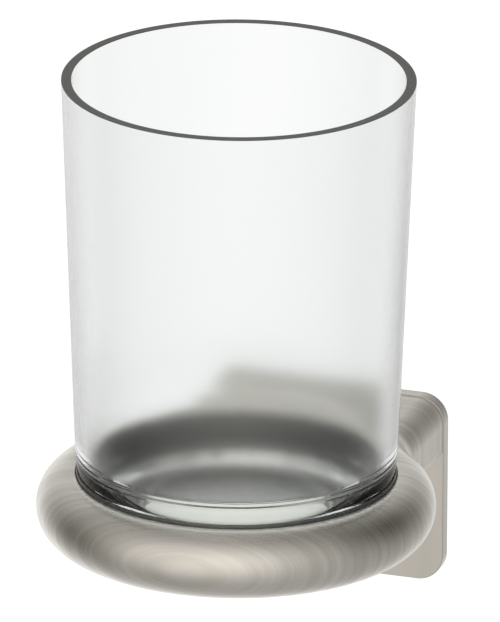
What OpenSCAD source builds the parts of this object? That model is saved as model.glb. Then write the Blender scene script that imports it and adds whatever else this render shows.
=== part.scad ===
// Wall-mounted tumbler holder: a tapered glass tumbler stands in a cast ring,
// which an arm carries in front of a rectangular wall plate.
// The wall is the plane y = 0, the holder reaches out towards -Y and +Z is up.
// The origin lies on the wall, midway between the two wall screws.

/* [Tumbler] */
// Outer diameter at the rim
tumbler_rim_d = 70; // [66:0.5:74]
// Outer diameter at the foot, before the heel is rounded
tumbler_foot_d = 62.8; // [58:0.2:65]
// Height from heel to rim
tumbler_h = 91.5; // [70:0.5:120]
// Thickness of the side wall
tumbler_wall = 2; // [1.6:0.1:3]
// Thickness of the base
tumbler_base_t = 2.8; // [2.4:0.1:7]
// Rounding of the heel
tumbler_heel_r = 1.5; // [1:0.1:2]
// Rounding between the floor and the wall inside
tumbler_floor_r = 9.2; // [4:0.2:12]
// Height of the hollow under the base
tumbler_punt_h = 0.8; // [0.4:0.1:1.2]
// Width of the ring of glass that the tumbler stands on
tumbler_stand_w = 4.5; // [3:0.5:8]

/* [Seat liner] */
// Thickness of the plastic sleeve
liner_wall = 0.4; // [0.3:0.05:0.8]
// Thickness of the flange under the tumbler's heel
liner_flange_t = 0.8; // [0.6:0.1:1.2]
// Width of that flange
liner_flange_w = 5; // [3:0.5:8]
// How far the sleeve stands out of the ring
liner_proud = 0.75; // [0.3:0.05:1.2]
// Gap round the tumbler at the top of the sleeve
liner_gap = 0.16; // [0.1:0.02:0.3]
// Gap between the sleeve and the metal
liner_fit = 0.05; // [0.02:0.01:0.1]

/* [Ring] */
// Diameter of the ring's round section
ring_section_d = 13.8; // [12:0.2:17]
// Distance from the seat's wall out to the ring's crest
ring_land = 0.3; // [0.2:0.1:1.5]
// Depth of the seat below the crest
seat_depth = 9.85; // [8:0.05:10.5]
// Thickness of the dish that closes the ring
dish_t = 2.4; // [1.8:0.1:3]
// Rounding of the seat's upper edge
lip_r = 0.4; // [0.2:0.1:0.6]

/* [Arm] */
// Distance from the wall to the tumbler's axis
reach = 59; // [56:0.5:90]
// How far the arm's underside lies above the ring's lowest point
arm_rise = 0.2; // [0.1:0.05:0.8]
// Rounding of the arm's lower edges
arm_low_r = 1; // [0.5:0.1:2]
// Radius of the hollow curve where each side of the arm runs out into the ring
side_flare_r = 20; // [8:1:30]
// Radius of the hollow curve where the arm's top rises to the ring
root_fillet_r = 8; // [5:0.5:12]
// Thickness of the roof over the socket in the arm's end
socket_roof = 1.6; // [1.4:0.1:2]
// Thickness of the floor under that socket
socket_floor = 1.9; // [1.6:0.1:2.2]
// Thickness of the arm's walls beside the socket
socket_side = 6.65; // [6.2:0.05:8]
// Depth of the socket, from the wall
socket_depth = 17; // [16:0.5:19]

/* [Wall plate] */
// Width
plate_w = 49.6; // [49:0.2:54]
// Height
plate_h = 39; // [32:0.5:60]
// Thickness
plate_t = 2.85; // [2.4:0.05:3.4]
// Rounding of the corners, seen from the front
plate_corner_r = 5.4; // [4.8:0.1:5.6]
// Bevel round the front edge, which is also how far the arm stands in
plate_bevel = 0.15; // [0.1:0.05:0.4]
// Depth of the relief in the back
relief_depth = 0.8; // [0.4:0.1:1]
// Width of the rim that bears on the wall round the relief
relief_rim_w = 3; // [2.4:0.1:4]

/* [Wall bracket] */
// Thickness of the bent steel strip
bracket_t = 1.6; // [1.4:0.1:1.8]
// Inner radius of its bend
bracket_bend_r = 0.8; // [0.5:0.1:1]
// How far its tongue stands out from the wall
bracket_depth = 14; // [12:0.5:15]
// Gap between the bracket and the socket
bracket_gap = 0.1; // [0.05:0.05:0.2]
// Distance from each wall screw to the side of the bracket
wall_screw_inset = 6.8; // [6.6:0.1:8]
// Width of each slot in the bracket
wall_slot_w = 3.8; // [3.2:0.1:4.2]
// Length of each slot, end to end
wall_slot_l = 8; // [6:0.5:9]

/* [Screws] */
// Shank diameter of the screws that hold the plate to the arm
plate_screw_d = 2.5; // [2:0.1:2.6]
// Diameter of their countersunk heads
plate_screw_head_d = 4.6; // [4:0.1:4.8]
// Length of those screws
plate_screw_l = 8; // [6:0.5:10]
// Distance from each of those screws to the side of the plate
plate_screw_inset = 3.5; // [3.3:0.1:3.8]
// Diameter of the clamp screw under the arm
clamp_d = 4; // [3:0.5:5]
// Distance of the clamp screw from the wall
clamp_y = 8.6; // [8:0.1:9.5]
// Width across the flats of its hexagon socket
clamp_key = 2; // [1.5:0.1:2.2]
// Diameter of the boss that it passes through inside the socket
clamp_boss_d = 7; // [6:0.2:8]
// Height of that boss
clamp_boss_h = 1.2; // [0.8:0.1:1.6]

/* [Hidden] */
$fn = 96;
// How far every cut runs past the face that it opens
over = 1;
// How far each side flare lies inside the arm's side where it starts
flare_sunk = 0.05;
// Gap round a screw in its hole
screw_gap = 0.05;
// How deep the clamp screw sits above the arm's underside
clamp_sunk = 0.3;
// Depth of the clamp screw's hexagon
clamp_key_depth = 2;

// Heights, counted from the wall screws
ring_r = ring_section_d / 2;
arm_corner_r = plate_corner_r - plate_bevel;
arm_h = arm_corner_r + ring_r - 2 * arm_rise;
socket_h = arm_h - socket_roof - socket_floor;
socket_low = (bracket_t - socket_h) / 2;
socket_top = socket_low + socket_h;
arm_low = socket_low - socket_floor;
arm_top = arm_low + arm_h;
ring_z = arm_low + ring_r - arm_rise;
crest_z = ring_z + ring_r;
floor_z = crest_z - seat_depth;
heel_z = floor_z + liner_flange_t;
liner_top = crest_z + liner_proud;
plate_top = arm_top + plate_bevel;

// Radii about the tumbler's axis
taper = (tumbler_rim_d - tumbler_foot_d) / 2 / tumbler_h;
taper_a = atan(taper);
function tumbler_r(z) = tumbler_foot_d / 2 + taper * z;
liner_r = tumbler_r(liner_top - heel_z) + liner_gap;
seat_r = liner_r + liner_wall + liner_fit;
ring_mean_r = seat_r + ring_land;

// Sizes that follow from the pieces round them
arm_w = plate_w - 2 * plate_bevel;
socket_w = arm_w - 2 * socket_side;
socket_corner_r = 3 * bracket_gap;
bracket_w = socket_w - 4 * bracket_gap;
wall_screw_spacing = bracket_w - 2 * wall_screw_inset;
plate_screw_spacing = plate_w - 2 * plate_screw_inset;
bracket_top = socket_top - bracket_gap;
tongue_low = bracket_top - bracket_t;

// Rectangle with four round corners, centred
module round_rect(w, h, r) {
    square([w - 2 * r, h], center = true);
    square([w, h - 2 * r], center = true);
    for (x = [-1, 1], y = [-1, 1])
        translate([x * (w / 2 - r), y * (h / 2 - r)]) circle(r);
}

// Slot with round ends along X, centred
module slot(l, w) {
    square([l - w, w], center = true);
    for (x = [-1, 1]) translate([x * (l - w) / 2, 0]) circle(w / 2);
}

// Round-cornered plate with a bevelled upper edge
module bevelled_plate(w, h, t, r, bevel) {
    linear_extrude(t - bevel) round_rect(w, h, r);
    translate([0, 0, t - bevel]) {
        for (x = [-1, 1], y = [-1, 1])
            translate([x * (w / 2 - r), y * (h / 2 - r), 0])
                cylinder(h = bevel, r1 = r, r2 = r - bevel);
        bevelled_bar(w, h - 2 * r, bevel);
        rotate(90) bevelled_bar(h, w - 2 * r, bevel);
    }
}

// Bar of width w and length l whose two long sides slope in by its height
module bevelled_bar(w, l, bevel) {
    rotate([90, 0, 0]) linear_extrude(l, center = true)
        polygon([[-w / 2, 0], [w / 2, 0], [w / 2 - bevel, bevel], [bevel - w / 2, bevel]]);
}

// Stands a flat drawing up against the wall, so that its thickness grows outwards
module on_wall(y = 0) {
    translate([0, -y, 0]) rotate([90, 0, 0]) children();
}

// Places a turned piece on the tumbler's axis
module on_axis(z = 0) {
    translate([0, -reach, z]) children();
}

// Half section of the tumbler's outside, standing on its heel
module tumbler_outside() {
    heel_x = tumbler_r(tumbler_heel_r) - tumbler_heel_r / cos(taper_a);
    translate([heel_x, tumbler_heel_r]) circle(tumbler_heel_r);
    polygon([[0, 0], [heel_x, 0],
        [heel_x + tumbler_heel_r * cos(taper_a), tumbler_heel_r * (1 - sin(taper_a))],
        [tumbler_rim_d / 2, tumbler_h], [0, tumbler_h]]);
}

// Half section of the space inside it
module tumbler_inside() {
    function wall_x(z) = tumbler_r(z) - tumbler_wall / cos(taper_a);
    corner_z = tumbler_base_t + tumbler_floor_r;
    corner_x = wall_x(corner_z) - tumbler_floor_r / cos(taper_a);
    end_z = corner_z - tumbler_floor_r * sin(taper_a);
    translate([0, tumbler_base_t]) square([corner_x, tumbler_h]);
    intersection() {
        translate([corner_x, corner_z]) circle(tumbler_floor_r);
        square([tumbler_rim_d, corner_z]);
    }
    polygon([[0, end_z], [wall_x(end_z), end_z],
        [wall_x(tumbler_h + over), tumbler_h + over], [0, tumbler_h + over]]);
}

// Glass tumbler with a ground rim, a rounded heel and a hollow under the base
module tumbler() {
    punt_x = tumbler_foot_d / 2 - tumbler_heel_r - tumbler_stand_w;
    color("whitesmoke") on_axis(heel_z) rotate_extrude() difference() {
        tumbler_outside();
        tumbler_inside();
        polygon([[0, -over], [punt_x + over, -over], [punt_x, 0],
            [punt_x - tumbler_punt_h, tumbler_punt_h], [0, tumbler_punt_h]]);
    }
}

// Plastic sleeve that keeps the glass off the metal, with a flange under the heel
module seat_liner() {
    sleeve_x = liner_r + liner_wall;
    color("gainsboro") on_axis() rotate_extrude() {
        translate([liner_r, floor_z])
            square([liner_wall, liner_top - floor_z - liner_wall / 2]);
        translate([sleeve_x - liner_wall / 2, liner_top - liner_wall / 2]) circle(liner_wall / 2);
        translate([sleeve_x - liner_flange_w, floor_z]) square([liner_flange_w, liner_flange_t]);
    }
}

// Section of the arm: round upper corners, small round lower corners
module arm_section() {
    for (x = [-1, 1]) {
        translate([x * (arm_w / 2 - arm_corner_r), arm_top - arm_corner_r]) circle(arm_corner_r);
        translate([x * (arm_w / 2 - arm_low_r), arm_low + arm_low_r]) circle(arm_low_r);
    }
    translate([-arm_w / 2, arm_low + arm_low_r])
        square([arm_w, arm_h - arm_low_r - arm_corner_r]);
    translate([arm_low_r - arm_w / 2, arm_low])
        square([arm_w - 2 * arm_low_r, arm_low_r]);
    translate([arm_corner_r - arm_w / 2, arm_top - arm_corner_r])
        square([arm_w - 2 * arm_corner_r, arm_corner_r]);
}

// Hollow curve that lifts the arm's flat top to the ring, turned about the tumbler's axis
module root_fillet() {
    rise = arm_top - ring_z;
    run = sqrt(pow(ring_r + root_fillet_r, 2) - pow(rise + root_fillet_r, 2));
    share = ring_r / (ring_r + root_fillet_r);
    rotate_extrude() difference() {
        polygon([[ring_mean_r, 0], [ring_mean_r + run, 0], [ring_mean_r + run, rise],
            [ring_mean_r + run * share, (rise + root_fillet_r) * share], [ring_mean_r, rise]]);
        translate([ring_mean_r + run, rise + root_fillet_r]) circle(root_fillet_r);
    }
}

// Round bar, bent about an upright axis, that lets each side of the arm run out into the ring
module side_flares() {
    bar_r = arm_corner_r - flare_sunk;
    centre_x = arm_w / 2 + side_flare_r;
    centre_y = sqrt(pow(ring_mean_r + ring_r + side_flare_r, 2) - pow(centre_x, 2));
    for (side = [0, 1])
        mirror([side, 0, 0]) translate([centre_x, centre_y, 0]) rotate(180)
            rotate_extrude(angle = atan2(centre_y, centre_x))
                translate([side_flare_r + arm_corner_r, 0]) circle(bar_r);
}

// Everything of the casting that is metal before the seat and the socket are cut
module holder_blank() {
    on_axis(ring_z) rotate_extrude() translate([ring_mean_r, 0]) circle(ring_r);
    on_axis(floor_z - dish_t) cylinder(h = dish_t, r = ring_mean_r);
    on_axis(arm_top - arm_corner_r) side_flares();
    difference() {
        on_wall(plate_t) linear_extrude(reach - plate_t) arm_section();
        on_axis(arm_low - over) cylinder(h = arm_h + 2 * over, r = ring_mean_r);
    }
    intersection() {
        on_axis(ring_z) root_fillet();
        on_wall(plate_t) linear_extrude(reach - plate_t)
            translate([arm_corner_r - arm_w / 2, ring_z])
                square([arm_w - 2 * arm_corner_r, ring_r]);
    }
}

// Seat for the liner, with its upper edge rounded
module seat_cut() {
    on_axis(floor_z) cylinder(h = seat_depth + over, r = seat_r);
    on_axis(crest_z) rotate_extrude() difference() {
        translate([seat_r - over, -lip_r]) square([over + lip_r, lip_r + over]);
        translate([seat_r + lip_r, -lip_r]) circle(lip_r);
    }
}

// Socket in the arm's end for the wall bracket, with the boss of the clamp screw left in it
module socket_cut() {
    difference() {
        on_wall(plate_t - over) linear_extrude(socket_depth - plate_t + over)
            translate([0, socket_low + socket_h / 2]) round_rect(socket_w, socket_h, socket_corner_r);
        translate([0, -clamp_y, socket_low - over])
            cylinder(h = clamp_boss_h + over, d = clamp_boss_d);
    }
}

// Cast ring, dish and arm in one piece
module holder() {
    color("darkgray") difference() {
        holder_blank();
        seat_cut();
        socket_cut();
        for (x = [-1, 1])
            translate([x * plate_screw_spacing / 2, 0, arm_top - arm_h / 2]) on_wall(plate_t - over)
                cylinder(h = plate_screw_l - plate_t + 2 * over, d = plate_screw_d + 2 * screw_gap);
        translate([0, -clamp_y, arm_low - over])
            cylinder(h = socket_floor + clamp_boss_h + 2 * over, d = clamp_d + 2 * screw_gap);
    }
}

// Countersunk screw with its head at the origin and its point towards +Z
module countersunk(gap, l) {
    head_h = (plate_screw_head_d - plate_screw_d) / 2;
    cylinder(h = head_h, d1 = plate_screw_head_d + 2 * gap, d2 = plate_screw_d + 2 * gap);
    cylinder(h = l, d = plate_screw_d + 2 * gap);
}

// Cover plate between the arm and the wall
module wall_plate() {
    color("silver") difference() {
        translate([0, 0, plate_top - plate_h / 2]) on_wall()
            bevelled_plate(plate_w, plate_h, plate_t, plate_corner_r, plate_bevel);
        translate([0, 0, plate_top - plate_h / 2]) on_wall(-over)
            linear_extrude(relief_depth + over)
                round_rect(plate_w - 2 * relief_rim_w, plate_h - 2 * relief_rim_w, plate_corner_r / 2);
        on_wall(-over) linear_extrude(plate_t + 2 * over)
            translate([0, socket_low + socket_h / 2]) round_rect(socket_w, socket_h, socket_corner_r);
        for (x = [-1, 1]) translate([x * plate_screw_spacing / 2, 0, arm_top - arm_h / 2]) {
            on_wall(-over)
                cylinder(h = relief_depth + over, d = plate_screw_head_d + 2 * screw_gap);
            on_wall(relief_depth) countersunk(screw_gap, plate_t + over);
        }
    }
}

// Two countersunk screws that hold the plate to the arm from behind
module plate_screws() {
    color("dimgray") for (x = [-1, 1])
        translate([x * plate_screw_spacing / 2, 0, arm_top - arm_h / 2]) on_wall(relief_depth)
            countersunk(0, plate_screw_l - relief_depth);
}

// Steel strip with a slotted back for the wall screws and a tongue inside the arm
module wall_bracket() {
    bend_r = bracket_bend_r + bracket_t;
    back_low = socket_low + bracket_gap;
    color("lightsteelblue") difference() {
        rotate([90, 0, -90]) linear_extrude(bracket_w, center = true) {
            translate([0, back_low]) square([bracket_t, bracket_top - bend_r - back_low]);
            translate([bend_r, tongue_low]) square([bracket_depth - bend_r, bracket_t]);
            translate([bend_r, bracket_top - bend_r]) intersection() {
                difference() {
                    circle(bend_r);
                    circle(bracket_bend_r);
                }
                translate([-bend_r, 0]) square(bend_r);
            }
        }
        for (x = [-1, 1])
            translate([x * wall_screw_spacing / 2, 0, 0]) on_wall(-over)
                linear_extrude(bracket_t + 2 * over) slot(wall_slot_l, wall_slot_w);
    }
}

// Grub screw that presses the tongue against the socket's roof
module clamp_screw() {
    low = arm_low + clamp_sunk;
    color("dimgray") translate([0, -clamp_y, low]) difference() {
        cylinder(h = tongue_low - low, d = clamp_d);
        translate([0, 0, -over])
            cylinder(h = clamp_key_depth + over, d = clamp_key / cos(30), $fn = 6);
    }
}

tumbler();
seat_liner();
holder();
wall_plate();
plate_screws();
wall_bracket();
clamp_screw();
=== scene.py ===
# Wall-mounted tumbler holder: an etched glass tumbler in a brushed nickel ring.
# Metres, with the wall at y = 0, the holder reaching out towards -Y and +Z up.
import math
import bmesh
import bpy
import numpy as np
from mathutils import Matrix, Vector


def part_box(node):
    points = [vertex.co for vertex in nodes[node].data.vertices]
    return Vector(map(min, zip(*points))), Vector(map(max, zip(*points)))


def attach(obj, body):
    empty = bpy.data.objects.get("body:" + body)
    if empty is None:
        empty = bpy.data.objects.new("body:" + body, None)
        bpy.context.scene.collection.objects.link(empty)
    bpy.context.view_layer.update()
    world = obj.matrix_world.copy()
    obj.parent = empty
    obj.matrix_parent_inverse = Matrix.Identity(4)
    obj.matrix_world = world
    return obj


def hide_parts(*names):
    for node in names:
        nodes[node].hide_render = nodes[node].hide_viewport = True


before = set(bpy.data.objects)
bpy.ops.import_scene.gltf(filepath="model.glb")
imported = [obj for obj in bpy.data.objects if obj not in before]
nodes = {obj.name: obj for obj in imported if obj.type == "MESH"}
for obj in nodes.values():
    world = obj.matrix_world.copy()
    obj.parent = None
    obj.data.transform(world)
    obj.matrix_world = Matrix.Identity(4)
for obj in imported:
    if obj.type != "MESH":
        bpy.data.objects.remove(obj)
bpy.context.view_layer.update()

MM = 0.001

# Places that the frame gives
glass_low, glass_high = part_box("tumbler")
liner_low, liner_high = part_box("seat_liner")
AXIS_Y = (glass_low.y + glass_high.y) / 2
HEEL_Z = glass_low.z
RIM_Z = glass_high.z
RIM_R = (glass_high.x - glass_low.x) / 2
LINER_DRAWN_IN = 0.6 * MM
LINER_R = (liner_high.x - liner_low.x) / 2 - LINER_DRAWN_IN

# The tumbler's own sizes
FOOT_R = 31.4 * MM
TAPER = (RIM_R - FOOT_R) / (RIM_Z - HEEL_Z)
GLASS_WALL = 2 * MM
GLASS_BASE = 2.1 * MM
HEEL_ROUND = 1.5 * MM
FLOOR_ROUND = 12.4 * MM
PUNT_HEIGHT = 0.8 * MM
STAND_WIDTH = 4.5 * MM
CLEAR_FOOT = 15.1 * MM
GROOVES = 2
GROOVE_W = 1 * MM
GROOVE_DEPTH = 0.09 * MM
GROOVE_TOP = 14.7 * MM
FOOT_DRAWN_IN = 0.35 * MM
RIM_EDGE = 0.12 * MM

# The liner's own sizes
LINER_GAP = 0.05 * MM
LINER_FLANGE_T = 0.8 * MM
LINER_FLANGE_W = 5 * MM

# The holder's own sizes
holder_low, holder_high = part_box("holder")
plate_low, plate_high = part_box("wall_plate")
RING_R = 6.9 * MM
RING_OUT_R = (holder_high.x - holder_low.x) / 2
RING_MEAN_R = RING_OUT_R - RING_R
RING_Z = holder_low.z + RING_R
CREST_Z = RING_Z + RING_R
SEAT_GAP = 0.05 * MM
SEAT_R = LINER_R + SEAT_GAP
SEAT_DEPTH = 9.85 * MM
DISH_T = 2.4 * MM
TURNED_R = 22 * MM
LIP_ROUND = 0.3 * MM
PLATE_BEVEL = 0.15 * MM
ARM_W = plate_high.x - plate_low.x - 2 * PLATE_BEVEL
ARM_TOP = plate_high.z - PLATE_BEVEL
ARM_RISE = 0.2 * MM
ARM_LOW = holder_low.z + ARM_RISE
ARM_TOP_ROUND = 5.25 * MM
ARM_LOW_ROUND = 1 * MM
PLATE_FRONT = plate_low.y
SOCKET_DEPTH = 17 * MM
SOCKET_GAP = 0.1 * MM
SCREW_HEAD_R = 2.3 * MM
SCREW_HOLE_R = 1.3 * MM
SCREW_GAP = 0.05 * MM
SCREW_TIP = 1 * MM

# How far the floor lies below the ring, and how wide it is
FLOOR_DROP = 0.3
FLOOR_W = 6

# How far from the other surface the arm starts to run out into the ring, and over what
# width outside the ring's crest this fades in
BLEND = 5 * MM
FADE_W = 3 * MM

# The arm's mesh lies just under the turned ring. It ends under the ring's crest, a little
# behind the ring's middle, and a little behind the plate's front
ARM_SUNK = 0.015 * MM
ARM_INNER_PAST = 0.7 * MM
ARM_FRONT_PAST = 2 * MM
ARM_BACK_PAST = 1.2 * MM
ARM_GRID = 0.45 * MM

# Steps round a turned piece, in a quarter of a rounded edge, and round the ring's section
TURN_STEPS = 192
ROUND_STEPS = 6
RING_STEPS = 64

# Small distance by which two places still count as one
SAME = 0.01 * MM

# The photograph is a parallel view. This lens and place keep every edge within 3 px of
# it. This long lens, from far off, stands in for it
LENS = 1375
CAMERA_FAR = 4.7043
AZIMUTH = math.radians(18.51)
PITCH = math.radians(20.49)
ROLL = 0.0068
AIM = Vector((0, -0.045, RING_Z + 28.325 * MM))
AIM_RIGHT = -1.91 * MM
AIM_UP = 7.01 * MM


def colour(hexa, alpha=1.0):
    """Linear colour of an sRGB hex value."""
    parts = [int(hexa[i:i + 2], 16) / 255 for i in (1, 3, 5)]
    linear = [c / 12.92 if c <= 0.04045 else ((c + 0.055) / 1.055) ** 2.4 for c in parts]
    return (*linear, alpha)


def add(tree, kind, inputs=None, **settings):
    """Adds a node with its settings. An input is a value, or the socket that feeds it."""
    new = tree.nodes.new("ShaderNode" + kind)
    for name, value in settings.items():
        setattr(new, name, value)
    for name, value in (inputs or {}).items():
        socket = new.inputs[name]
        if isinstance(value, bpy.types.NodeSocket):
            tree.links.new(value, socket)
        else:
            socket.default_value = value
    return new


def new_material(name):
    """Empty material with its output, and the object's own coordinates."""
    material = bpy.data.materials.new(name)
    material.use_nodes = True
    tree = material.node_tree
    tree.nodes.clear()
    out = add(tree, "OutputMaterial")
    place = add(tree, "TexCoord").outputs["Object"]
    return material, tree, out, place


def ramp(tree, factor, low, high, colours=None):
    """Colour ramp between two positions, from black to white or between two colours."""
    new = add(tree, "ValToRGB", {"Fac": factor})
    first, last = new.color_ramp.elements
    first.position, last.position = low, high
    if colours:
        first.color, last.color = colours
    return new.outputs["Color"]


# Satin nickel plating, brushed in one direction: fine grooves that lie in planes
# across the arm, so they ring the points that face straight out from the wall
def brushed_nickel():
    material, tree, out, place = new_material("brushed_nickel_plating")
    turned = add(tree, "Mapping", {"Vector": place, "Rotation": (0, 0, math.radians(-3.6))})
    # A fine line every 0.3 mm and a broad one every 1.4 mm, each some centimetres long
    fine = add(tree, "Mapping", {"Vector": turned.outputs[0], "Scale": (25, 3400, 25)})
    broad = add(tree, "Mapping", {"Vector": turned.outputs[0], "Scale": (12, 700, 12)})
    grooves = add(tree, "TexNoise", {"Vector": fine.outputs[0], "Scale": 1, "Detail": 3})
    bands = add(tree, "TexNoise", {"Vector": broad.outputs[0], "Scale": 1, "Detail": 2})
    tint = ramp(tree, bands.outputs[0], 0.3, 0.7, (colour("#c8c4be"), colour("#dedad5")))
    rough = add(tree, "MapRange", {
        "Value": grooves.outputs[0], "From Min": 0.3, "From Max": 0.7, "To Min": 0.22, "To Max": 0.36})
    groove = add(tree, "Bump", {"Height": grooves.outputs[0], "Strength": 0.33, "Distance": 0.01 * MM})
    normal = add(tree, "NewGeometry").outputs["Normal"]
    across = add(tree, "VectorMath", {0: normal, 1: (-0.0628, 0.998, 0.002)}, operation="CROSS_PRODUCT")
    along = add(tree, "VectorMath", {0: across.outputs[0], 1: (1e-4, 0, 1e-4)}, operation="ADD")
    metal = add(tree, "BsdfPrincipled", {
        "Base Color": tint, "Metallic": 1.0, "Roughness": rough.outputs[0], "Anisotropic": 0.5,
        "Tangent": along.outputs[0], "Normal": groove.outputs[0]})
    tree.links.new(metal.outputs[0], out.inputs["Surface"])
    return material


# Seat of the holder: unpolished casting, dull and nearly black. Its near-black tint is painted shade for the
# shaded wall of the seat and the outer band of its floor
def painted_shade_seat():
    material, tree, out, place = new_material("raw_casting_painted_shade")
    grain = add(tree, "TexNoise", {"Vector": place, "Scale": 700, "Detail": 3})
    # Painted shade: a nearly black tint, varied by the grain
    tint = ramp(tree, grain.outputs[0], 0.3, 0.7, (colour("#2c2c2b"), colour("#363635")))
    rough = add(tree, "MapRange", {"Value": grain.outputs[0], "To Min": 0.4, "To Max": 0.6})
    metal = add(tree, "BsdfPrincipled", {"Base Color": tint, "Metallic": 1.0, "Roughness": rough.outputs[0]})
    tree.links.new(metal.outputs[0], out.inputs["Surface"])
    return material


# Floor of the dish, turned smooth under the plating
def turned_floor():
    material, tree, out, place = new_material("turned_nickel_floor")
    grain = add(tree, "TexNoise", {"Vector": place, "Scale": 400, "Detail": 2})
    rough = add(tree, "MapRange", {"Value": grain.outputs[0], "To Min": 0.06, "To Max": 0.12})
    metal = add(tree, "BsdfPrincipled", {
        "Base Color": colour("#f3f1ed"), "Metallic": 1.0, "Roughness": rough.outputs[0]})
    tree.links.new(metal.outputs[0], out.inputs["Surface"])
    return material


# Soda-lime glass, polished, with a faint unevenness from pressing
def polished_glass():
    material, tree, out, place = new_material("polished_soda_glass")
    waves = add(tree, "TexNoise", {"Vector": place, "Scale": 90, "Detail": 1})
    soft = add(tree, "Bump", {"Height": waves.outputs[0], "Strength": 0.1, "Distance": 0.002 * MM})
    glass = add(tree, "BsdfPrincipled", {
        "Base Color": colour("#fcfefd"), "Roughness": 0.01, "IOR": 1.5,
        "Transmission Weight": 1.0, "Normal": soft.outputs[0]})
    tree.links.new(glass.outputs[0], out.inputs["Surface"])
    return material


# The same glass, etched with acid: a fine even frost that blurs what is behind it
def etched_glass():
    material, tree, out, place = new_material("acid_etched_glass")
    grain = add(tree, "TexNoise", {"Vector": place, "Scale": 2500, "Detail": 2})
    rough = add(tree, "MapRange", {
        "Value": grain.outputs[0], "From Min": 0.3, "From Max": 0.7, "To Min": 0.16, "To Max": 0.19})
    glass = add(tree, "BsdfPrincipled", {
        "Base Color": colour("#fdfefe"), "Roughness": rough.outputs[0], "IOR": 1.5,
        "Specular IOR Level": 0.15, "Transmission Weight": 1.0})
    tree.links.new(glass.outputs[0], out.inputs["Surface"])
    return material


# Rim ground flat, painted dark grey: painted shade for the cut edge of the glass, which looks dark from
# above
def ground_rim():
    material, tree, out, place = new_material("ground_rim_painted_shade")
    grain = add(tree, "TexNoise", {"Vector": place, "Scale": 1800, "Detail": 3})
    tint = ramp(tree, grain.outputs[0], 0.3, 0.7, (colour("#5f6160"), colour("#6d6f6e")))
    edge = add(tree, "BsdfPrincipled", {"Base Color": tint, "Roughness": 0.55, "IOR": 1.5})
    tree.links.new(edge.outputs[0], out.inputs["Surface"])
    return material


# Clear moulded plastic of the liner
def liner_plastic():
    material, tree, out, place = new_material("clear_moulded_plastic")
    grain = add(tree, "TexNoise", {"Vector": place, "Scale": 900, "Detail": 1})
    rough = add(tree, "MapRange", {"Value": grain.outputs[0], "To Min": 0.12, "To Max": 0.2})
    plastic = add(tree, "BsdfPrincipled", {
        "Base Color": colour("#eef1ef"), "Roughness": rough.outputs[0], "IOR": 1.49,
        "Transmission Weight": 0.95})
    tree.links.new(plastic.outputs[0], out.inputs["Surface"])
    return material


# Rolled stainless steel of the bracket, with the faint lines of the rolling
def rolled_steel():
    material, tree, out, place = new_material("rolled_stainless_steel")
    lines = add(tree, "Mapping", {"Vector": place, "Scale": (60, 2000, 2000)})
    grain = add(tree, "TexNoise", {"Vector": lines.outputs[0], "Scale": 1, "Detail": 2})
    tint = ramp(tree, grain.outputs[0], 0.3, 0.7, (colour("#a9abac"), colour("#bcbebf")))
    steel = add(tree, "BsdfPrincipled", {"Base Color": tint, "Metallic": 1.0, "Roughness": 0.35})
    tree.links.new(steel.outputs[0], out.inputs["Surface"])
    return material


# Bright stainless steel of the screws
def screw_steel():
    material, tree, out, place = new_material("bright_stainless_steel")
    grain = add(tree, "TexNoise", {"Vector": place, "Scale": 1500, "Detail": 2})
    rough = add(tree, "MapRange", {"Value": grain.outputs[0], "To Min": 0.2, "To Max": 0.35})
    steel = add(tree, "BsdfPrincipled", {
        "Base Color": colour("#9c9d9e"), "Metallic": 1.0, "Roughness": rough.outputs[0]})
    tree.links.new(steel.outputs[0], out.inputs["Surface"])
    return material


def arc(centre_r, centre_z, radius, start, end, steps=ROUND_STEPS):
    """Points of a rounded edge in the half section, from one angle to another in degrees."""
    turns = [math.radians(start + (end - start) * i / steps) for i in range(steps + 1)]
    return [(centre_r + radius * math.cos(t), centre_z + radius * math.sin(t)) for t in turns]


def turned(name, section, closed=False):
    """Solid of revolution about the tumbler's axis, from points (radius, height)."""
    bm = bmesh.new()
    verts = [bm.verts.new((r, 0, z)) for r, z in section]
    pairs = list(zip(verts, verts[1:] + verts[:1])) if closed else list(zip(verts, verts[1:]))
    edges = [bm.edges.new(pair) for pair in pairs]
    bmesh.ops.spin(bm, geom=verts + edges, cent=(0, 0, 0), axis=(0, 0, 1), angle=math.tau,
                   steps=TURN_STEPS, use_merge=True)
    bmesh.ops.remove_doubles(bm, verts=bm.verts, dist=0.001 * MM)
    bmesh.ops.translate(bm, verts=bm.verts, vec=(0, AXIS_Y, 0))
    bmesh.ops.recalc_face_normals(bm, faces=bm.faces)
    for face in bm.faces:
        face.smooth = True
    mesh = bpy.data.meshes.new(name)
    bm.to_mesh(mesh)
    bm.free()
    piece = bpy.data.objects.new(name, mesh)
    bpy.context.scene.collection.objects.link(piece)
    return piece


def keep_edges(piece, degrees=30):
    """Shades the piece smooth but for edges sharper than the angle."""
    with bpy.context.temp_override(object=piece, active_object=piece, selected_editable_objects=[piece]):
        bpy.ops.object.shade_smooth_by_angle(angle=math.radians(degrees))


def glass_r(z):
    """Radius of the tumbler's outside at a height above its heel: a taper, drawn in at the foot."""
    share = min(max((CLEAR_FOOT - z) / (CLEAR_FOOT - liner_high.z + HEEL_Z), 0), 1)
    return FOOT_R + TAPER * z - FOOT_DRAWN_IN * share * share


def foot_outline():
    """Outside of the clear foot with the shallow grooves turned into it, from below upwards."""
    low = liner_high.z - HEEL_Z
    groove_low = GROOVE_TOP - GROOVES * GROOVE_W
    points = [(glass_r(z), z) for z in np.linspace(low, groove_low, 5)[:-1]]
    for z in np.linspace(groove_low, GROOVE_TOP, 12 * GROOVES + 1):
        depth = GROOVE_DEPTH * (1 - math.cos(math.tau * (z - groove_low) / GROOVE_W)) / 2
        points.append((glass_r(z) - depth, z))
    return points + [(glass_r(CLEAR_FOOT), CLEAR_FOOT)]


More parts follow.
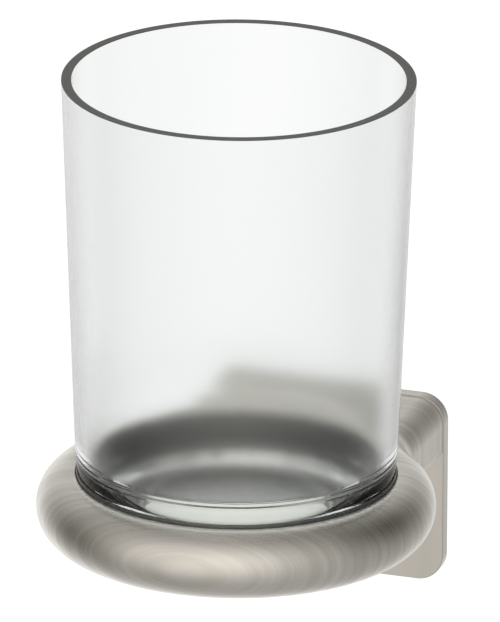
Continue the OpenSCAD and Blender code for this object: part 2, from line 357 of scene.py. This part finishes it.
def make_tumbler():
    """Tapered tumbler with a ground rim, a rounded heel and a hollow under its base."""
    height = RIM_Z - HEEL_Z
    tilt = math.degrees(math.atan(TAPER))
    cos_t = math.cos(math.radians(tilt))

    def inner(z):
        return FOOT_R + TAPER * z - GLASS_WALL / cos_t

    punt_r = FOOT_R - HEEL_ROUND - STAND_WIDTH
    floor_z = GLASS_BASE + FLOOR_ROUND
    floor_r = inner(floor_z) - FLOOR_ROUND / cos_t
    heel_r = glass_r(HEEL_ROUND) - HEEL_ROUND / cos_t
    section = [(0, PUNT_HEIGHT), (punt_r - PUNT_HEIGHT, PUNT_HEIGHT), (punt_r, 0)]
    section += arc(heel_r, HEEL_ROUND, HEEL_ROUND, -90, -tilt)
    section += foot_outline()
    section += [(RIM_R - TAPER * RIM_EDGE, height - RIM_EDGE)]
    section += [(RIM_R - RIM_EDGE, height), (inner(height) + RIM_EDGE, height)]
    section += [(inner(height - RIM_EDGE), height - RIM_EDGE)]
    section += arc(floor_r, floor_z, FLOOR_ROUND, -tilt, -90, 3 * ROUND_STEPS)
    section += [(0, GLASS_BASE)]
    piece = turned("tumbler_glass", [(r, z + HEEL_Z) for r, z in section])
    for make in (polished_glass, etched_glass, ground_rim):
        piece.data.materials.append(make())
    for face in piece.data.polygons:
        at = face.center
        radius = math.hypot(at.x, at.y - AXIS_Y)
        height_at = at.z - HEEL_Z
        outside = radius > glass_r(height_at) - GLASS_WALL / 2
        if outside and height_at > CLEAR_FOOT:
            face.material_index = 1
        # Painted shade: the ground rim takes the dark grey paint
        if height_at > height - RIM_EDGE:
            face.material_index = 2
    keep_edges(piece)
    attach(piece, "tumbler")
    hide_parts("tumbler")
    return piece


def make_liner():
    """Sleeve with a round top edge and a flange under the tumbler's heel."""
    inner_r = glass_r(liner_high.z - HEEL_Z) + LINER_GAP
    edge = (LINER_R - inner_r) / 2
    flange_top = liner_low.z + LINER_FLANGE_T
    section = [(LINER_R - LINER_FLANGE_W, liner_low.z), (LINER_R, liner_low.z)]
    section += arc(LINER_R - edge, liner_high.z - edge, edge, 0, 180)
    section += [(glass_r(HEEL_ROUND) + LINER_GAP, HEEL_Z + HEEL_ROUND)]
    section += [(glass_r(HEEL_ROUND) + LINER_GAP, flange_top), (LINER_R - LINER_FLANGE_W, flange_top)]
    piece = turned("seat_liner_sleeve", section, closed=True)
    piece.data.materials.append(liner_plastic())
    keep_edges(piece)
    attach(piece, "wall_unit")
    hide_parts("seat_liner")
    return piece


def make_ring(nickel):
    """Ring of round section, with the seat cut into it and the dish that closes it."""
    floor = CREST_Z - SEAT_DEPTH
    under = floor - DISH_T
    start = math.degrees(math.acos((SEAT_R + LIP_ROUND - RING_MEAN_R) / RING_R))
    end = math.degrees(math.asin((under - RING_Z) / RING_R))
    section = [(0, floor), (TURNED_R, floor), (SEAT_R, floor)]
    lip_top = RING_Z + RING_R * math.sin(math.radians(start))
    section += arc(SEAT_R + LIP_ROUND, lip_top - LIP_ROUND, LIP_ROUND, 180, 90)
    section += arc(RING_MEAN_R, RING_Z, RING_R, start, -180 - end, RING_STEPS)[1:]
    section += [(0, under)]
    piece = turned("holder_ring", section)
    for material in (nickel, painted_shade_seat(), turned_floor()):
        piece.data.materials.append(material)
    for face in piece.data.polygons:
        radius = math.hypot(face.center.x, face.center.y - AXIS_Y)
        # Painted shade: the seat's wall and the outer band of its floor take the nearly black seat paint;
        # the middle of the floor takes the turned floor
        if face.center.z > floor - SAME and radius < SEAT_R + SAME:
            face.material_index = 2 if radius < TURNED_R else 1
    keep_edges(piece)
    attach(piece, "wall_unit")
    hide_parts("holder")
    return piece


def ring_gap(at):
    """Distance from points to the ring's round surface, and their distance from its axis."""
    radius = np.hypot(at[:, 0], at[:, 1] - AXIS_Y)
    return np.hypot(radius - RING_MEAN_R, at[:, 2] - RING_Z) - RING_R, radius


def arm_gap(at):
    """Distance from points to the arm's long surface."""
    middle = (ARM_TOP + ARM_LOW) / 2
    corner = np.where(at[:, 2] > middle, ARM_TOP_ROUND, ARM_LOW_ROUND)
    aside = np.abs(at[:, 0]) - ARM_W / 2 + corner
    above = np.abs(at[:, 2] - middle) - (ARM_TOP - ARM_LOW) / 2 + corner
    outside = np.hypot(np.maximum(aside, 0), np.maximum(above, 0))
    return outside + np.minimum(np.maximum(aside, above), 0) - corner


def blend_gap(at):
    """Distance from points to the surface of arm and ring where the one runs out into the other."""
    ring, radius = ring_gap(at)
    arm = arm_gap(at)
    away = np.clip((radius - RING_MEAN_R) / FADE_W, 0, 1)
    away = away * away * (3 - 2 * away)
    near = np.maximum(BLEND - np.abs(ring - arm), 0) / BLEND
    joined = np.minimum(ring, arm) - near * near * BLEND / 4 * away
    inner = RING_MEAN_R + ARM_INNER_PAST - radius
    front = AXIS_Y + ARM_FRONT_PAST - at[:, 1]
    back = at[:, 1] - PLATE_FRONT - ARM_BACK_PAST
    return np.maximum.reduce([joined + ARM_SUNK, inner, front, back])


def arm_blank():
    """Rough arm and back half of the ring, fused into one fine even mesh."""
    bm = bmesh.new()
    box = bmesh.ops.create_cube(bm, size=1)["verts"]
    long = PLATE_FRONT + ARM_BACK_PAST - AXIS_Y - RING_MEAN_R * 0.9
    bmesh.ops.scale(bm, verts=box, vec=(ARM_W, long, ARM_TOP - ARM_LOW))
    middle = PLATE_FRONT + ARM_BACK_PAST - long / 2
    bmesh.ops.translate(bm, verts=box, vec=(0, middle, (ARM_TOP + ARM_LOW) / 2))
    bmesh.ops.bevel(bm, geom=bm.edges[:], offset=ARM_LOW_ROUND, segments=2, profile=0.5,
                    affect="EDGES", material=-1)
    disc = bmesh.ops.create_circle(bm, cap_ends=True, segments=32, radius=RING_R)["verts"]
    bmesh.ops.rotate(bm, verts=disc, cent=(0, 0, 0), matrix=Matrix.Rotation(math.pi / 2, 3, "X"))
    bmesh.ops.translate(bm, verts=disc, vec=(RING_MEAN_R, AXIS_Y, RING_Z))
    round_face = [face for face in bm.faces if all(vert in disc for vert in face.verts)]
    bmesh.ops.spin(bm, geom=round_face + disc, cent=(0, AXIS_Y, 0), axis=(0, 0, 1), angle=math.pi,
                   steps=64, use_merge=False)
    bmesh.ops.recalc_face_normals(bm, faces=bm.faces)
    mesh = bpy.data.meshes.new("holder_arm")
    bm.to_mesh(mesh)
    bm.free()
    piece = bpy.data.objects.new("holder_arm", mesh)
    bpy.context.scene.collection.objects.link(piece)
    fuse = piece.modifiers.new("fuse", "REMESH")
    fuse.mode = "VOXEL"
    fuse.voxel_size = ARM_GRID
    return bake(piece)


def bake(piece):
    """Applies the piece's modifiers to its mesh."""
    view = bpy.context.evaluated_depsgraph_get()
    mesh = bpy.data.meshes.new_from_object(piece.evaluated_get(view))
    piece.modifiers.clear()
    piece.data = mesh
    return piece


def box_between(bm, low, high):
    """Adds a box between two corners."""
    verts = bmesh.ops.create_cube(bm, size=1)["verts"]
    bmesh.ops.scale(bm, verts=verts, vec=high - low)
    bmesh.ops.translate(bm, verts=verts, vec=(low + high) / 2)


def bore(bm, radius, start, end):
    """Adds a round bar between two points, for a hole."""
    along = end - start
    turn = along.to_track_quat("Z", "Y").to_matrix().to_4x4()
    bmesh.ops.create_cone(bm, cap_ends=True, segments=32, radius1=radius, radius2=radius, depth=along.length,
                          matrix=Matrix.Translation((start + end) / 2) @ turn)


def cut_mounting(piece):
    """Cuts the socket and the screws' holes into the arm, round the pieces that sit in them."""
    strip_low, strip_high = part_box("wall_bracket")
    screws_low, screws_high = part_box("plate_screws")
    clamp_low, clamp_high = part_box("clamp_screw")
    side = Vector((2 * SOCKET_GAP, 0, SOCKET_GAP))
    bm = bmesh.new()
    inside = Vector((strip_low.x, -SOCKET_DEPTH, strip_low.z)) - side
    box_between(bm, inside, strip_high + side)
    middle = (screws_low + screws_high) / 2
    for x in (screws_low.x + SCREW_HEAD_R, screws_high.x - SCREW_HEAD_R):
        bore(bm, SCREW_HOLE_R, Vector((x, 0, middle.z)), Vector((x, screws_low.y - SCREW_TIP, middle.z)))
    centre = (clamp_low + clamp_high) / 2
    hole_r = (clamp_high.x - clamp_low.x) / 2 + SCREW_GAP
    bore(bm, hole_r, Vector((centre.x, centre.y, ARM_LOW - SCREW_TIP)), centre)
    mesh = bpy.data.meshes.new("mounting_cut")
    bm.to_mesh(mesh)
    bm.free()
    cutter = bpy.data.objects.new("mounting_cut", mesh)
    bpy.context.scene.collection.objects.link(cutter)
    cut = piece.modifiers.new("cut", "BOOLEAN")
    cut.object = cutter
    cut.solver = "EXACT"
    cut.use_self = True
    bake(piece)
    bpy.data.objects.remove(cutter)


def make_arm():
    """Arm that runs out into the ring, drawn in from the blank to the blended surface."""
    piece = arm_blank()
    mesh = piece.data
    at = np.empty(len(mesh.vertices) * 3)
    mesh.vertices.foreach_get("co", at)
    at = at.reshape(-1, 3)
    step = SAME
    for _ in range(12):
        gap = blend_gap(at)
        slope = np.stack([(blend_gap(at + axis) - blend_gap(at - axis)) / (2 * step)
                          for axis in np.eye(3) * step], axis=1)
        steep = np.maximum((slope ** 2).sum(axis=1), 0.25)
        at = at - slope * (gap / steep)[:, None]
    mesh.vertices.foreach_set("co", at.ravel())
    mesh.update()
    mesh.polygons.foreach_set("use_smooth", [True] * len(mesh.polygons))
    cut_mounting(piece)
    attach(piece, "wall_unit")
    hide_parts("holder")
    return piece


def dress(name, material):
    """Gives a CAD node its material."""
    piece = nodes[name]
    piece.data.materials.clear()
    piece.data.materials.append(material)


def heading(azimuth, elevation):
    """Direction out of the wall, turned to the right by the azimuth and up by the elevation."""
    azimuth, elevation = math.radians(azimuth), math.radians(elevation)
    level = math.cos(elevation)
    return (math.sin(azimuth) * level, -math.cos(azimuth) * level, math.sin(elevation))


def soft_light(tree, direction, azimuth, elevation, power):
    """Broad soft patch of light round one direction, from 1 at its middle to 0 opposite it."""
    facing = add(tree, "VectorMath", {0: direction, 1: heading(azimuth, elevation)}, operation="DOT_PRODUCT")
    half = add(tree, "Math", {0: facing.outputs["Value"], 1: 0.5, 2: 0.5}, operation="MULTIPLY_ADD")
    return add(tree, "Math", {0: half.outputs[0], 1: power}, operation="POWER").outputs[0]


def studio():
    """Soft studio: a warm broad light in front, one low behind, darker at the left and high at the back."""
    world = bpy.data.worlds.new("studio")
    bpy.context.scene.world = world
    world.use_nodes = True
    tree = world.node_tree
    tree.nodes.clear()
    out = add(tree, "OutputWorld")
    direction = add(tree, "TexCoord").outputs["Generated"]
    total = add(tree, "RGB").outputs[0]
    total.default_value = (0.5, 0.5, 0.48, 1)
    for azimuth, elevation, power, light in (
            (0, 20, 6, (0.8, 0.75, 0.7)),
            (-150, -20, 8, (0.8, 0.8, 0.8)),
            (-90, 0, 8, (-0.4, -0.4, -0.4)),
            (130, 30, 8, (-0.4, -0.4, -0.4))):
        patch = add(tree, "VectorMath", {
            0: soft_light(tree, direction, azimuth, elevation, power), 1: light, 2: total},
            operation="MULTIPLY_ADD")
        total = patch.outputs[0]
    path = add(tree, "LightPath")
    seen = path.outputs["Is Camera Ray"]
    onward = soft_light(tree, direction, math.degrees(AZIMUTH) + 180, -math.degrees(PITCH), 1)
    for ray, edge, full in (("Is Glossy Ray", 0.96, 0.99), ("Is Transmission Ray", 0.65, 0.92)):
        backdrop = add(tree, "MapRange", {"Value": onward, "From Min": edge, "From Max": full},
                       interpolation_type="SMOOTHSTEP")
        shown = add(tree, "Math", {0: path.outputs[ray], 1: backdrop.outputs[0]}, operation="MULTIPLY")
        seen = add(tree, "Math", {0: seen, 1: shown.outputs[0]}, operation="MAXIMUM").outputs[0]
    pick = add(tree, "MixRGB", {"Fac": seen, "Color1": total, "Color2": (1, 1, 1, 1)})
    glow = add(tree, "Background", {"Color": pick.outputs[0], "Strength": 1.0})
    tree.links.new(glow.outputs[0], out.inputs["Surface"])


# Pale floor: white as the photograph's background where the camera sees it
def floor_paint():
    material, tree, out, place = new_material("pale_studio_floor")
    grain = add(tree, "TexNoise", {"Vector": place, "Scale": 4, "Detail": 2})
    tint = ramp(tree, grain.outputs[0], 0.3, 0.7, (colour("#f0f0ef"), colour("#f4f4f3")))
    paint = add(tree, "BsdfDiffuse", {"Color": tint})
    shine = add(tree, "Emission", {"Color": (1, 1, 1, 1), "Strength": 0.6})
    nothing = add(tree, "BsdfTransparent")
    lit = add(tree, "AddShader", {0: paint.outputs[0], 1: shine.outputs[0]})
    behind = add(tree, "NewGeometry").outputs["Backfacing"]
    seen = add(tree, "MixShader", {"Fac": behind, 1: lit.outputs[0], 2: nothing.outputs[0]})
    tree.links.new(seen.outputs[0], out.inputs["Surface"])
    return material


def make_floor():
    """Floor well below the holder, which only the camera sees."""
    bm = bmesh.new()
    bmesh.ops.create_grid(bm, x_segments=1, y_segments=1, size=FLOOR_W / 2)
    bmesh.ops.translate(bm, verts=bm.verts, vec=(0, 0, holder_low.z - FLOOR_DROP))
    mesh = bpy.data.meshes.new("studio_floor")
    bm.to_mesh(mesh)
    bm.free()
    floor = bpy.data.objects.new("studio_floor", mesh)
    bpy.context.scene.collection.objects.link(floor)
    mesh.materials.append(floor_paint())
    for kind in ("glossy", "transmission", "diffuse"):
        setattr(floor, "visible_" + kind, False)


def make_camera():
    """Long lens at the photograph's angle, which stands in for its parallel view."""
    back = Vector(heading(math.degrees(AZIMUTH), math.degrees(PITCH)))
    level = Vector((math.cos(AZIMUTH), math.sin(AZIMUTH), 0))
    upright = back.cross(level)
    right = level * math.cos(ROLL) + upright * math.sin(ROLL)
    up = upright * math.cos(ROLL) - level * math.sin(ROLL)
    aim = AIM + right * AIM_RIGHT + up * AIM_UP
    data = bpy.data.cameras.new("camera")
    data.lens = LENS
    data.clip_start = 1
    data.clip_end = 20
    camera = bpy.data.objects.new("camera", data)
    bpy.context.scene.collection.objects.link(camera)
    turn = Matrix((right, up, back)).transposed().to_4x4()
    camera.matrix_world = Matrix.Translation(aim + back * CAMERA_FAR) @ turn
    bpy.context.scene.camera = camera


nickel = brushed_nickel()
dress("wall_plate", nickel)
make_ring(nickel)
make_arm().data.materials.append(nickel)
dress("wall_bracket", rolled_steel())
screws = screw_steel()
dress("plate_screws", screws)
dress("clamp_screw", screws)
make_tumbler()
make_liner()
make_floor()
studio()
make_camera()
bpy.context.scene.view_settings.view_transform = "Standard"
